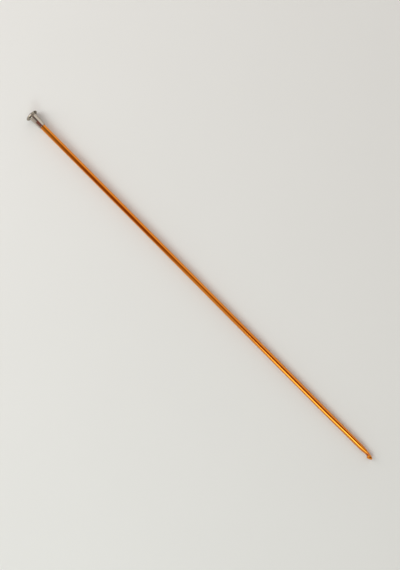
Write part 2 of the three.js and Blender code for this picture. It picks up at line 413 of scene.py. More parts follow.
@dataclass(frozen=True)
class MetalFinish:
    """What both metals share: gloss, the relief of the lines from machining, and marks of handling."""

    gloss: float = 0.06
    relief: float = 0.003 * MM
    bump: float = 0.3
    scratches: float = 0.9
    smudge_haze: float = 0.06
    scratch_haze: float = 0.15

    def worked(
        self,
        board: NodeBoard,
        shader: bpy.types.Node,
        lines: Socket,
        marks: dict[str, Socket],
        haze: tuple[Socket, float],
    ) -> None:
        """Set the shader's roughness and bump.

        Args:
            board: The material's board.
            shader: Its Principled BSDF.
            lines: Height of the lines from machining.
            marks: Masks of the handling marks.
            haze: A mask that takes the gloss off, with its weight.
        """
        smudged, scratched = (marks["Smudge"], self.smudge_haze), (marks["Scratch"], self.scratch_haze)
        rough = board.raised(self.gloss, smudged, haze, scratched)
        board.join(shader, Metallic=1.0, Roughness=rough)
        height = board.math("SUBTRACT", lines, marks["Scratch"])
        board.bump(shader, height, self.bump, self.relief)


@dataclass(frozen=True)
class AnodisedFinish(MetalFinish):
    """Bright orange anodised aluminium: a dyed, glassy oxide layer over drawn metal.

    The metal's own reflection takes the dye's colour, and the layer's clear face adds a pale one. Along
    the lip's worn edge the layer is thin and the bare metal starts to show. In the throat's corner and
    in the crevice at the sleeve's mouth a dark red-brown is mixed in as painted shade.
    """

    dye: Colour = (0.79, 0.25, 0.002)
    deep_dye: Colour = (0.73, 0.215, 0.0015)
    bare: Colour = (0.84, 0.55, 0.34)
    # Dark red-brown painted as shade in the throat's corner and in the crevice at the sleeve's mouth.
    painted_shade: Colour = (0.42, 0.08, 0.001)
    coat: float = 0.45
    coat_gloss: float = 0.06
    coat_ior: float = 1.6
    grain_along: float = 26.0
    grain_across: float = 4200.0
    relief: float = 0.004 * MM
    bump: float = 0.35
    scratches: float = 0.6
    bare_scale: float = 2600.0
    bare_start: float = 0.95
    cloud_scale: float = 34.0
    cloud_dye: float = 0.55
    streak_dye: float = 0.3
    painted_shade_weight: float = 0.9
    smudge_haze: float = 0.04
    streak_haze: float = 0.02
    scratch_haze: float = 0.2

    def material(self, effects: Effects, middle: Vector) -> bpy.types.Material:
        """Build the material.

        Args:
            effects: The shared node groups.
            middle: A point on the tool's axis, from which the patterns are measured.

        Returns:
            The material.
        """
        material, board, shader = new_material("anodised_orange")
        coat = {"Coat_Weight": self.coat, "Coat_Roughness": self.coat_gloss, "Coat_IOR": self.coat_ior}
        board.join(shader, **coat)
        place = board.centred(middle)

        drawn = {"Along": self.grain_along, "Across": self.grain_across}
        grain = board.group(effects.drawn_grain, Vector=place, **drawn)
        marks = board.group(effects.handling, Vector=place, Scratches=self.scratches)
        ragged = {"Scale": self.bare_scale, "Threshold": self.bare_start}
        bare = board.group(effects.patches, Vector=place, Mask=board.marked(Mark.WEAR), **ragged)

        clouds = board.noise(place, self.cloud_scale, detail=3.0)
        cloud = board.ranged(clouds, low=0.35, high=0.68, to_high=self.cloud_dye)
        deep = board.raised(cloud, (grain["Streak"], self.streak_dye))
        dyed = board.mixed(deep, self.dye, self.deep_dye)
        # Painted shade: the shade mark mixes the dark red-brown into the dye in the throat's corner and
        # the sleeve's crevice.
        shade_share = board.product(board.marked(Mark.SHADE), self.painted_shade_weight)
        shaded = board.mixed(shade_share, dyed, self.painted_shade)
        board.join(shader, Base_Color=board.mixed(bare["Mask"], shaded, self.bare))
        self.worked(board, shader, grain["Height"], marks, (grain["Streak"], self.streak_haze))
        return material


@dataclass(frozen=True)
class DarkSpot:
    """A dark spot on the cap: its middle, from the middle of the cap's face, and how far it reaches."""

    middle: tuple[float, float, float]
    reach: float


@dataclass(frozen=True)
class NickelFinish(MetalFinish):
    """Polished nickel plate: spun rings, hairlines, smudges, tarnish and painted shade in its corners."""

    name: str = "nickel_plate"
    plate: Colour = (0.54, 0.465, 0.395)
    # Dark colour for smudges and tarnish, and for the painted shade in the corners and the dark spots.
    tarnish_and_shade: Colour = (0.12, 0.1, 0.07)
    ring_scale: float = 5200.0
    corner_shade_scale: float = 1800.0
    corner_shade_start: float = 0.62
    spot_scale: float = 1500.0
    spot_start: float = 0.3
    smudge_tarnish: float = 0.12
    corner_shade_weight: float = 0.75
    spot_darkening: float = 0.9
    dull_haze: float = 0.3
    stains_and_reflections: tuple[DarkSpot, ...] = ()

    def spotted(self, board: NodeBoard, place: Socket) -> Socket | float:
        """Work out how far a place lies in a dark spot: 1 in its middle, and 0 from its reach on.

        Args:
            board: The material's board.
            place: Where the point lies, from the middle of the cap's face.

        Returns:
            The largest share among the spots.
        """
        share: Socket | float = 0.0
        for dark_spot in self.stains_and_reflections:
            ends = {"i0": place, "i1": dark_spot.middle}
            away = board.add("ShaderNodeVectorMath", {"operation": "DISTANCE"}, **ends).outputs["Value"]
            near = board.ranged(away, low=0.0, high=dark_spot.reach, to_low=1.0, to_high=0.0)
            share = board.math("MAXIMUM", share, near)
        return share

    def material(self, effects: Effects, face: Vector) -> bpy.types.Material:
        """Build the material.

        Args:
            effects: The shared node groups.
            face: The middle of the cap's face, from which the patterns are measured.

        Returns:
            The material.
        """
        material, board, shader = new_material(self.name)
        place = board.centred(face)

        rings = board.group(effects.spun_rings, Vector=place, Scale=self.ring_scale)
        marks = board.group(effects.handling, Vector=place, Scratches=self.scratches)
        # Painted shade with tarnish: the shade mark, high in the corners and where the parts meet, mixes
        # in the dark colour.
        ragged = {"Scale": self.corner_shade_scale, "Threshold": self.corner_shade_start}
        corner_shade = board.group(effects.patches, Vector=place, Mask=board.marked(Mark.SHADE), **ragged)
        # Dark spots: on the cap's rim they are painted dark reflections, underneath it tarnish.
        ragged = {"Scale": self.spot_scale, "Threshold": self.spot_start}
        spots = board.group(effects.patches, Vector=place, Mask=self.spotted(board, place), **ragged)

        smudged = board.product(marks["Smudge"], self.smudge_tarnish)
        shade_and_smudge = board.math("MAXIMUM", board.product(corner_shade["Mask"], self.corner_shade_weight), smudged)
        darkened = board.math("MAXIMUM", shade_and_smudge, board.product(spots["Mask"], self.spot_darkening))
        board.join(shader, Base_Color=board.mixed(darkened, self.plate, self.tarnish_and_shade))
        self.worked(board, shader, rings["Height"], marks, (corner_shade["Mask"], self.dull_haze))
        return material


@dataclass(frozen=True)
class CapFinish(NickelFinish):
    """The cap's plate: rougher than the sleeve's, darker as painted shade, with dark spots round its rim.
    """

    name: str = "nickel_plate_cap"
    # Darker than the sleeve's plate as painted shade, which dims the lamps' reflections in the cap.
    plate: Colour = (0.38, 0.33, 0.27)
    tarnish_and_shade: Colour = (0.045, 0.038, 0.028)
    gloss: float = 0.2
    # The first four spots, on the rim's top and sides, are painted dark reflections of the shade round
    # the cap; the last two, underneath, are tarnish.
    stains_and_reflections: tuple[DarkSpot, ...] = tuple(
        DarkSpot((x * MM, y * MM, z * MM), reach * MM)
        for x, y, z, reach in (
            (2.1, 3.66, 3.26, 1.9),
            (1.0, -3.95, 1.7, 1.2),
            (0.8, 0.0, 3.75, 1.1),
            (2.9, -1.6, 4.2, 1.9),
            (2.0, -2.1, -4.4, 1.2),
            (1.2, 3.4, -2.4, 1.0),
        )
    )


@dataclass(frozen=True)
class FloorFinish:
    """A plain pale matt floor with a trace of unevenness in its tone."""

    tone: Colour = (0.785, 0.775, 0.755)
    darker: Colour = (0.765, 0.755, 0.735)
    gloss: float = 0.75
    specular: float = 0.25
    cloud_scale: float = 9.0

    def material(self) -> bpy.types.Material:
        """Build and return the material."""
        material, board, shader = new_material("pale_floor")
        place = board.add("ShaderNodeTexCoord").outputs["Object"]
        cloud = board.noise(place, self.cloud_scale, detail=4.0, roughness=0.6)
        colour = board.mixed(cloud, self.tone, self.darker)
        board.join(shader, Base_Color=colour, Roughness=self.gloss, Specular_IOR_Level=self.specular)
        return material


# The rod


# The squareness of a plain ellipse, and the place of the widest line half-way up.
ELLIPSE = 2.0
MIDDLE = 0.5


class Stretch(Enum):
    """The stretches of the head, in order from the shaft to the lip's edge."""

    RAMP = "ramp"
    CORNER = "corner"
    LIP = "lip"
    EDGE = "edge"


HEAD_STEPS = {Stretch.RAMP: 56, Stretch.CORNER: 64, Stretch.LIP: 48, Stretch.EDGE: 26}


@dataclass(frozen=True)
class Pull:
    """How far each curve's handle reaches, as a share of the distance that the curve crosses there."""

    ramp_start: float = 0.4
    ramp_end: float = 0.35
    foot: float = 0.6
    wall: float = 0.36
    nose: float = 0.45
    front: float = 0.3


@dataclass
class Sections:
    """A row of sections through the rod.

    Each reaches from a point on the mouth's side to one on the back, and half_width to both sides of
    the widest line between them. A squareness above ELLIPSE makes the mouth's side flatter. Wear and
    painted shade are shares for the finish: wear all round, and painted shade on the mouth's side.
    """

    mouth: np.ndarray
    back: np.ndarray
    half_width: np.ndarray
    widest: np.ndarray
    squareness: np.ndarray
    wear: np.ndarray
    shade: np.ndarray

    @staticmethod
    def joined(rows: list["Sections"]) -> "Sections":
        """Return several rows of sections as one."""
        names = [part.name for part in fields(Sections)]
        return Sections(*(np.concatenate([getattr(row, name) for row in rows]) for name in names))

    def rings(self, axis_z: float, roll: float, sides: int) -> np.ndarray:
        """Work out the points round every section.

        With c and s the cosine and sine of an even angle, a point lies |c| of the way from the widest
        line to the back where c is positive, and |c| to the power 2 / squareness of the way to the
        mouth's side where it isn't. It stands half_width times s, with the same power, to the side.
        Then the section is rolled about the axis: (y cos roll + z sin roll, z cos roll - y sin roll).

        Args:
            axis_z: Height of the tool's axis.
            roll: How far the mouth is turned up from -Y.
            sides: Points in a ring.

        Returns:
            The rings, as sections x sides x 3.
        """
        angle = round_angles(sides)[None, :]
        c, s = np.cos(angle), np.sin(angle)
        to_back = c > 0.0
        power = np.where(to_back, 1.0, ELLIPSE / self.squareness[:, None])
        reach = (np.abs(c) ** power)[..., None]
        across = np.sign(s) * np.abs(s) ** power * self.half_width[:, None]
        middle = (self.mouth + (self.back - self.mouth) * self.widest[:, None])[:, None, :]
        target = np.where(to_back[..., None], self.back[:, None, :], self.mouth[:, None, :])
        x, y = np.moveaxis(middle + (target - middle) * reach, -1, 0)
        turned_y = y * math.cos(roll) + across * math.sin(roll)
        turned_z = across * math.cos(roll) - y * math.sin(roll)
        return np.stack([x, turned_y, axis_z + turned_z], axis=-1)


@dataclass
class HookRod:
    """The one-piece rod: plain end, shaft, slow taper, and the head with its throat, lip and nose.

    Places along the head are measured back from the tip of the nose. Wear, painted shade and the places
    where the painted shade starts and ends along a stretch are shares. The painted shade darkens the
    throat's corner and the crevice at the sleeve's mouth.
    """

    face_x: float
    start_x: float
    axis_z: float
    tool_length: float
    sleeve_end: float
    radius: float
    roll: float = math.radians(45.0)
    end_chamfer: float = 0.35 * MM
    taper_length: float = 40.0 * MM
    taper_drop: float = 0.6 * MM
    head_length: float = 14.0 * MM
    back_turn: float = 5.4 * MM
    back_drop: float = 0.8 * MM
    back_slope: float = 0.3
    nose_shift: float = 0.85 * MM
    nose_round: float = 0.8 * MM
    nose_half_width: float = 1.72 * MM
    mouth_depth: float = 1.3 * MM
    mouth_foot: float = 4.95 * MM
    mouth_slope: float = 0.05
    wall_base: float = 4.5 * MM
    wall_lean: float = 0.35 * MM
    corner_drop: float = 0.42 * MM
    mouth_half_width: float = 1.5 * MM
    mouth_squareness: float = 2.4
    lip_rise: float = 0.4 * MM
    lip_edge: float = 0.35 * MM
    lip_front: float = 2.2 * MM
    lip_wall_share: float = 0.85
    throat_widest: float = 0.36
    nose_widest: float = 0.4
    crevice_shadow: float = 0.7 * MM
    throat_spread: float = 1.6
    shade_start: float = 0.8
    shade_end: float = 0.5
    wall_wear: float = 0.3
    lip_wear: float = 0.8
    crevice_steps: int = 12
    shaft_steps: int = 69
    taper_steps: int = 40
    sides: int = 96
    pull: Pull = Pull()

    @property
    def nose_x(self) -> float:
        """Where the tip of the nose lies."""
        return self.face_x + self.tool_length

    def from_nose(self, points: np.ndarray) -> np.ndarray:
        """Turn rows of a distance back from the nose and y into rows of x and y."""
        return np.stack([self.nose_x - points[:, 0], points[:, 1]], axis=1)

    @staticmethod
    def axis_share(radius: np.ndarray | float, drop: np.ndarray | float) -> np.ndarray | float:
        """Return how far up a lowered section the axis lies: (radius - drop) / (2 radius - drop)."""
        return (radius - drop) / (2.0 * radius - drop)

    def shaft(self, x: np.ndarray, share: np.ndarray, chamfer: np.ndarray | float = 0.0) -> Sections:
        """Sections of the shaft: round, or along the taper lowered on the mouth's side.

        The widest line stays on the tool's axis.

        Args:
            x: Where each section lies.
            share: How far the taper has come there, from 0 to 1.
            chamfer: How much smaller than the rod's the radius is.

        Returns:
            The sections.
        """
        none = np.zeros(len(x))
        radius = self.radius - chamfer + none
        drop = ease(0.0, self.taper_drop, share)
        return Sections(
            mouth=np.stack([x, drop - radius], axis=1),
            back=np.stack([x, radius], axis=1),
            half_width=radius,
            widest=self.axis_share(radius, drop),
            squareness=none + ELLIPSE,
            wear=none,
            shade=none,
        )

    def plain_end(self) -> Sections:
        """The chamfered end inside the sleeve and the straight shaft up to the taper."""
        taper_x = self.nose_x - self.head_length - self.taper_length
        near = np.linspace(-self.crevice_shadow, self.crevice_shadow, self.crevice_steps + 1)
        crevice = self.sleeve_end + near
        onward = np.linspace(crevice[-1], taper_x, self.shaft_steps + 1)[1:]
        x = np.concatenate([[self.start_x, self.start_x + self.end_chamfer], crevice, onward])
        chamfer = np.zeros(len(x))
        chamfer[0] = self.end_chamfer
        return self.shaft(x, np.zeros(len(x)), chamfer)

    def taper(self) -> Sections:
        """The slow taper, which eases in over its length."""
        share = even_shares(self.taper_steps)[1:]
        x = self.nose_x - self.head_length - self.taper_length * (1.0 - share)
        return self.shaft(x, share)

    @property
    def lip_y(self) -> float:
        """How far out the lip reaches on the mouth's side."""
        return -self.radius - self.lip_rise

    @property
    def wall_top(self) -> float:
        """How far back from the nose the lip's edge lies."""
        return self.wall_base - self.wall_lean

    def mouth_curve(self, stretch: Stretch, t: np.ndarray) -> np.ndarray:
        """Points of the mouth's side: down the ramp, round the corner, and up the wall to the lip's edge.

        Args:
            stretch: Which stretch of the head.
            t: Shares along it.

        Returns:
            Rows of x and y.
        """
        start_y = self.taper_drop - self.radius
        floor_y = self.mouth_depth - self.radius
        corner_y = floor_y - self.corner_drop
        edge_y = self.lip_y + self.lip_edge
        ramp = self.head_length - self.mouth_foot
        run = (self.mouth_foot - self.wall_base) * self.pull.foot
        end = ramp * self.pull.ramp_end
        wall = (edge_y - corner_y) * self.pull.wall
        match stretch:
            case Stretch.RAMP:
                points = (
                    (self.head_length, start_y),
                    (self.head_length - ramp * self.pull.ramp_start, start_y),
                    (self.mouth_foot + end, floor_y - self.mouth_slope * end),
                    (self.mouth_foot, floor_y),
                )
            case Stretch.CORNER:
                points = (
                    (self.mouth_foot, floor_y),
                    (self.mouth_foot - run, floor_y + self.mouth_slope * run),
                    (self.wall_base, corner_y + self.corner_drop * self.pull.foot),
                    (self.wall_base, corner_y),
                )
            case Stretch.LIP:
                points = (
                    (self.wall_base, corner_y),
                    (self.wall_base, corner_y + wall),
                    (self.wall_top, edge_y - wall),
                    (self.wall_top, edge_y),
                )
            case Stretch.EDGE:
                return self.edge_arc(np.pi + 0.25 * np.pi * t)
        return self.from_nose(bezier(points, t))

    def back_curve(self, stretch: Stretch, t: np.ndarray) -> np.ndarray:
        """Points of the back's side: along the back, round the nose, and under the lip to its edge.

        Args:
            stretch: Which stretch of the head.
            t: Shares along it.

        Returns:
            Rows of x and y.
        """
        turn_y = self.radius - self.back_drop
        back = self.head_length - self.back_turn
        end = back * self.pull.ramp_end
        turn = self.back_turn * self.pull.nose
        match stretch:
            case Stretch.RAMP:
                points = (
                    (self.head_length, self.radius),
                    (self.head_length - back * self.pull.ramp_start, self.radius),
                    (self.back_turn + end, turn_y + self.back_slope * end),
                    (self.back_turn, turn_y),
                )
            case Stretch.CORNER:
                points = (
                    (self.back_turn, turn_y),
                    (self.back_turn - turn, turn_y - self.back_slope * turn),
                    (0.0, self.nose_round - self.nose_shift),
                    (0.0, -self.nose_shift),
                )
            case Stretch.LIP:
                points = (
                    (0.0, -self.nose_shift),
                    (0.0, (self.lip_y + self.nose_shift) * self.pull.front - self.nose_shift),
                    (self.lip_front, self.lip_y),
                    (self.wall_top - self.lip_edge, self.lip_y),
                )
            case Stretch.EDGE:
                return self.edge_arc(1.5 * np.pi - 0.25 * np.pi * t)
        return self.from_nose(bezier(points, t))

    def edge_arc(self, angle: np.ndarray) -> np.ndarray:
        """Return points on the lip's rounded edge at the given angles."""
        back, up = self.wall_top - self.lip_edge, self.lip_y + self.lip_edge
        return circle((self.nose_x - back, up), self.lip_edge, angle)

    def lip_width(self, share: np.ndarray) -> np.ndarray:
        """Half the lip's width: nose_half_width times the root of 1 minus the share squared."""
        return self.nose_half_width * np.sqrt(np.maximum(0.0, 1.0 - share**2))

    def stretch(self, stretch: Stretch) -> Sections:
        """Sections along one stretch of the head, closer together towards the end of the lip's edge.

        Args:
            stretch: Which stretch.

        Returns:
            Its sections, without the one that it shares with the stretch before.
        """
        t = even_shares(HEAD_STEPS[stretch])[1:]
        if stretch is Stretch.EDGE:
            t = np.sin(0.5 * np.pi * t)
        none, full = np.zeros(len(t)), np.ones(len(t))
        mouth, back = self.mouth_curve(stretch, t), self.back_curve(stretch, t)
        match stretch:
            case Stretch.RAMP:
                half_width = ease(self.radius, self.mouth_half_width, t)
                widest = ease(self.axis_share(self.radius, self.taper_drop), self.throat_widest, t)
                squareness = ease(ELLIPSE, self.mouth_squareness, t)
                wear = none
                shade = ease(0.0, 1.0, (t - self.shade_start) / (1.0 - self.shade_start))
            case Stretch.CORNER:
                half_width = ease(self.mouth_half_width, self.nose_half_width, t)
                widest = ease(self.throat_widest, self.nose_widest, t)
                squareness = self.mouth_squareness * full
                wear = ease(0.0, self.wall_wear, t)
                shade = full
            case Stretch.LIP:
                half_width = self.lip_width(t * self.lip_wall_share)
                widest = ease(self.nose_widest, MIDDLE, t)
                squareness = ease(self.mouth_squareness, ELLIPSE, t)
                wear = ease(self.wall_wear, self.lip_wear, t)
                shade = ease(1.0, 0.0, t / self.shade_end)
            case Stretch.EDGE:
                half_width = self.lip_width(self.lip_wall_share + (1.0 - self.lip_wall_share) * t)
                widest = MIDDLE * full
                squareness = ELLIPSE * full
                wear = ease(self.lip_wear, 1.0, t)
                shade = none
        return Sections(mouth, back, half_width, widest, squareness, wear, shade)

    def build(self, material: bpy.types.Material) -> bpy.types.Object:
        """Skin the whole rod as one piece.

        Args:
            material: The rod's finish.

        Returns:
            The rod.
        """
        sections = Sections.joined([self.plain_end(), self.taper(), *map(self.stretch, Stretch)])
        rings = sections.rings(self.axis_z, self.roll, self.sides)
        tip = rings[-1].mean(axis=0)
        mesh = skin("rod", rings[:-1], np.array([self.start_x, 0.0, self.axis_z]), tip)
        all_round = np.ones(self.sides)
        mark(mesh, Mark.WEAR, np.outer(sections.wear[:-1], all_round))
        # Painted shade: on the mouth's side along the throat, and all round the rod at the sleeve's
        # mouth.
        to_mouth = np.clip(-self.throat_spread * np.cos(round_angles(self.sides)), 0.0, 1.0)
        throat = np.outer(sections.shade[:-1], to_mouth)
        crevice = ease(1.0, 0.0, np.abs(sections.back[:-1, 0] - self.sleeve_end) / self.crevice_shadow)
        mark(mesh, Mark.SHADE, np.maximum(throat, np.outer(crevice, all_round)))
        return placed("rod", mesh, material, Slot.ROD, "hook_shaft", "hook_head")


# The stopper


@dataclass(frozen=True)
class StopperSizes:
    """Sizes that the sleeve and the cap share, and what follows from them."""

    face_x: float
    axis_z: float
    rim_radius: float
    length: float = 13.0 * MM
    rod_radius: float = 2.125 * MM
    cap_wall: float = 0.35 * MM
    rim_thickness: float = 2.2 * MM
    dome_rise: float = 0.85 * MM
    coin_radius: float = 1.2 * MM
    hem_lap: float = 0.25 * MM
    sleeve_wall: float = 0.38 * MM
    flare_radius: float = 0.85 * MM
    crimp_length: float = 5.0 * MM
    bore_gap: float = 0.25 * MM
    crimp_gap: float = 0.04 * MM
    seat_gap: float = 0.05 * MM
    sides: int = 144

    @property
    def mouth_x(self) -> float:
        """Where the sleeve's mouth lies."""
        return self.face_x + self.length

    @property
    def roll(self) -> float:
        """Radius of the rim's roll."""
        return self.rim_thickness / 2.0

    @property
    def roll_centre(self) -> float:
        """Distance of the roll's centre from the tool's axis."""
        return self.rim_radius - self.roll

    @property
    def dome_radius(self) -> float:
        """Radius of the sphere that rises dome_rise above the rim and meets its roll without a kink."""
        high = (self.roll + self.dome_rise) ** 2
        return (high + self.roll_centre**2 - self.roll**2) / (2.0 * self.dome_rise)

    @property
    def coin_angle(self) -> float:
        """Angle from the axis at which the small flat in the dome's middle ends."""
        return math.asin(self.coin_radius / self.dome_radius)

    @property
    def rim_angle(self) -> float:
        """Angle from the axis at which the dome runs into the roll."""
        return math.asin(self.roll_centre / (self.dome_radius - self.roll))

    @property
    def dome_x(self) -> float:
        """Where the dome's centre lies."""
        return self.face_x + self.dome_radius * math.cos(self.coin_angle)

    @property
    def roll_x(self) -> float:
        """Where the roll's centre lies."""
        return self.dome_x - self.dome_radius + self.dome_rise + self.roll

    @property
    def flange_x(self) -> float:
        """Where the back of the sleeve's flange lies, against the hem."""
        return self.roll_x + self.roll - self.cap_wall - self.seat_gap


@dataclass
class TurnedPart:
    """A thin part of the stopper, turned about the tool's axis.

    Its outline is a list of stretches: rows of radius and x, each with how deep in a corner they lie,
    from 0 to 1. The finish darkens the deep ones as painted shade.
    """

    sizes: StopperSizes

    def outline(self) -> Outline:
        """Return the outline's stretches."""
        raise NotImplementedError

    def turned(self, name: str, **ends: object) -> bpy.types.Mesh:
        """Carry the outline round the axis, with its depths as painted shade.

        Args:
            name: Name of the mesh.
            ends: How skin shuts the outline's ends.

        Returns:
            The mesh.
        """
        parts = self.outline()
        points = np.concatenate([part for part, _ in parts])
        depth = np.concatenate([np.broadcast_to(deep, len(part)) for part, deep in parts])
        mesh = skin(name, revolve(points, self.sizes.axis_z, self.sizes.sides), **ends)
        mark(mesh, Mark.SHADE, np.outer(depth, np.ones(self.sizes.sides)))
        return mesh


@dataclass
class StopperSleeve(TurnedPart):
    """The thin tube that is crimped on the rod, and flares out into a flange inside the cap's rim."""

    edge_steps: int = 12
    flare_steps: int = 24
    tube_steps: int = 11
    crimp_steps: int = 16
    lip_steps: int = 14
    back_steps: int = 20
    # Depths of painted shade: where the flange lies inside the cap's rim, down the flare, in the mouth
    # and inside.
    edge_depth: float = 0.9
    flare_depth: tuple[float, float] = (0.85, 0.05)
    back_depth: float = 0.6

    def outline(self) -> Outline:
        """The closed outline: the flange's edge, the flare, tube and crimp, the lip, and back inside.

        Returns:
            The stretches, with their depths.
        """
        z = self.sizes
        wall, half = z.sleeve_wall, z.sleeve_wall / 2.0
        bore, crimp = z.rod_radius + z.bore_gap, z.rod_radius + z.crimp_gap
        flare = (bore + wall + z.flare_radius, z.flange_x + z.flare_radius)
        edge = (z.roll_centre, z.flange_x - half)
        lip = (crimp + half, z.mouth_x - half)
        share = even_shares(self.crimp_steps)[:-1]
        closing = np.stack([ease(bore, crimp, share), lip[1] - z.crimp_length * (1.0 - share)], axis=1)
        tube = np.linspace((bore, flare[1]), closing[0], self.tube_steps + 1)[1:-1]
        inside = np.concatenate([tube, closing])
        up_flare = np.linspace(*self.flare_depth, self.flare_steps + 1)
        return [
            (arc(edge, half, -np.pi / 2, np.pi / 2, self.edge_steps), self.edge_depth),
            (arc(flare, z.flare_radius, 1.5 * np.pi, np.pi, self.flare_steps), up_flare),
            (inside + [wall, 0.0], 0.0),
            (arc(lip, half, 0.0, np.pi, self.lip_steps), even_shares(self.lip_steps)),
            (inside[::-1], 1.0),
            (arc(flare, z.flare_radius + wall, np.pi, 1.5 * np.pi, self.back_steps), self.back_depth),
        ]

    def build(self, material: bpy.types.Material) -> bpy.types.Object:
        """Turn the outline about the axis, and return the sleeve."""
        mesh = self.turned("sleeve", closed=True)
        return placed("sleeve", mesh, material, Slot.STOPPER, "stopper_sleeve")


@dataclass
class StopperCap(TurnedPart):
    """The thin domed disc whose rim rolls round the sleeve's flange and ends in a hem behind it."""

    flat_steps: int = 6
    dome_steps: int = 24
    roll_steps: int = 44
    lap_steps: int = 3
    hem_steps: int = 16
    inner_roll_steps: int = 28
    inner_dome_steps: int = 20
    # Depths of painted shade: the back of the roll, the lap, the hem and the inside.
    roll_depth: float = 0.7
    roll_shade_start: float = -0.4
    lap_depth: float = 0.75
    hem_depth: float = 0.8
    inner_depth: float = 0.8

    def outline(self) -> Outline:
        """The outline from the axis: flat, dome, roll, hem, and back along the inside.

        An arc's angle counts from straight out, a quarter turn less than the angles from the axis.

        Returns:
            The stretches, with their depths.
        """
        z = self.sizes
        half, inner = z.cap_wall / 2.0, z.roll - z.cap_wall
        dome, roll = (0.0, z.dome_x), (z.roll_centre, z.roll_x)
        hem = (z.roll_centre - z.hem_lap + half, z.roll_x + z.roll - half)
        axis, coin, rim, behind = np.array([0.0, z.coin_angle, z.rim_angle, np.pi]) - np.pi / 2
        flat = np.linspace((0.0, z.face_x), (z.coin_radius, z.face_x), self.flat_steps + 1)
        lap = np.linspace((roll[0], hem[1] + half), (hem[0], hem[1] + half), self.lap_steps + 1)
        under = lap[::-1] - [0.0, z.cap_wall]
        inner_dome = arc(dome, z.dome_radius - z.cap_wall, rim, axis, self.inner_dome_steps)
        round_roll = ease(0.0, self.roll_depth, np.linspace(self.roll_shade_start, 1.0, self.roll_steps))
        round_hem = np.linspace(self.hem_depth, 1.0, self.hem_steps + 1)
        return [
            (flat[1:-1], 0.0),
            (arc(dome, z.dome_radius, coin, rim, self.dome_steps), 0.0),
            (arc(roll, z.roll, rim, behind, self.roll_steps)[1:], round_roll),
            (lap[1:-1], self.lap_depth),
            (arc(hem, half, np.pi / 2, 1.5 * np.pi, self.hem_steps), round_hem),
            (under[1:-1], 1.0),
            (arc(roll, inner, behind, rim, self.inner_roll_steps), 1.0),
            (inner_dome[1:-1], self.inner_depth),
        ]

    def build(self, material: bpy.types.Material) -> bpy.types.Object:
        """Turn the outline about the axis, and return the cap."""
        z = self.sizes
        face = np.array([z.face_x, 0.0, z.axis_z])
        inside = np.array([z.dome_x - z.dome_radius + z.cap_wall, 0.0, z.axis_z])
        mesh = self.turned("cap", start_pole=face, end_pole=inside)
        return placed("cap", mesh, material, Slot.STOPPER, "stopper_cap")


def placed(
    name: str, mesh: bpy.types.Mesh, material: bpy.types.Material, slot: Slot, *nodes: str
) -> bpy.types.Object:
    """Put a mesh in the scene as a piece that stands for CAD nodes.

    Args:
        name: Name of the piece.
        mesh: Its mesh, with its place in it.
        material: Its finish.
        slot: The record's slot that it is painted from; not used.
        nodes: The CAD nodes that it stands for.

    Returns:
        The piece.
    """
    piece = in_scene(name, mesh)
    mesh.materials.append(material)
    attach(piece, "root")
    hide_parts(*nodes)
    LOG.info("%s: %d faces, stands for %s", name, len(mesh.polygons), ", ".join(nodes))
    return piece


# The studio


@dataclass(frozen=True)
class Softbox:
    """A soft rectangular lamp that faces a point of the tool."""

    name: str
    place: tuple[float, float, float]
    aim: tuple[float, float, float]
    width: float
    height: float
    power: float
    colour: Colour = (1.0, 1.0, 1.0)

    def light(self) -> bpy.types.Object:
        """Make the lamp and return it."""
        lamp = bpy.data.lights.new(self.name, "AREA")
        lamp.shape = "RECTANGLE"
        lamp.size = self.width
        lamp.size_y = self.height
        lamp.energy = self.power
        lamp.color = self.colour
        box = in_scene(self.name, lamp)
        box.location = self.place
        facing = Vector(self.aim) - Vector(self.place)
        box.rotation_euler = facing.to_track_quat("-Z", "Y").to_euler()
        LOG.info("%s: %.1f W", self.name, self.power)
        return box


LAMPS = (
    Softbox(
        name="hook light",
        place=(0.39, -0.74, 0.74),
        aim=(0.1, 0.0, 0.0),
        width=0.54,
        height=0.43,
        power=2.36,
        colour=(0.78, 1.0, 0.97),
    ),
    Softbox(
        name="stopper light",
        place=(-0.9, -0.36, 0.66),
        aim=(-0.1, 0.0, 0.0),
        width=0.9,
        height=0.9,
        power=7.0,
    ),
)


@dataclass(frozen=True)
class Patch:
    """A soft-edged part of the room, by direction.

    Lean is the angle from the zenith in degrees, towards +Y where it is above zero and towards -Y where
    it is below. Slant is the direction's part along X, from -1 to 1.
    """

    name: str
    colour: Colour
    lean: tuple[float, float]
    slant: tuple[float, float]
    lean_edge: float
    slant_edge: float


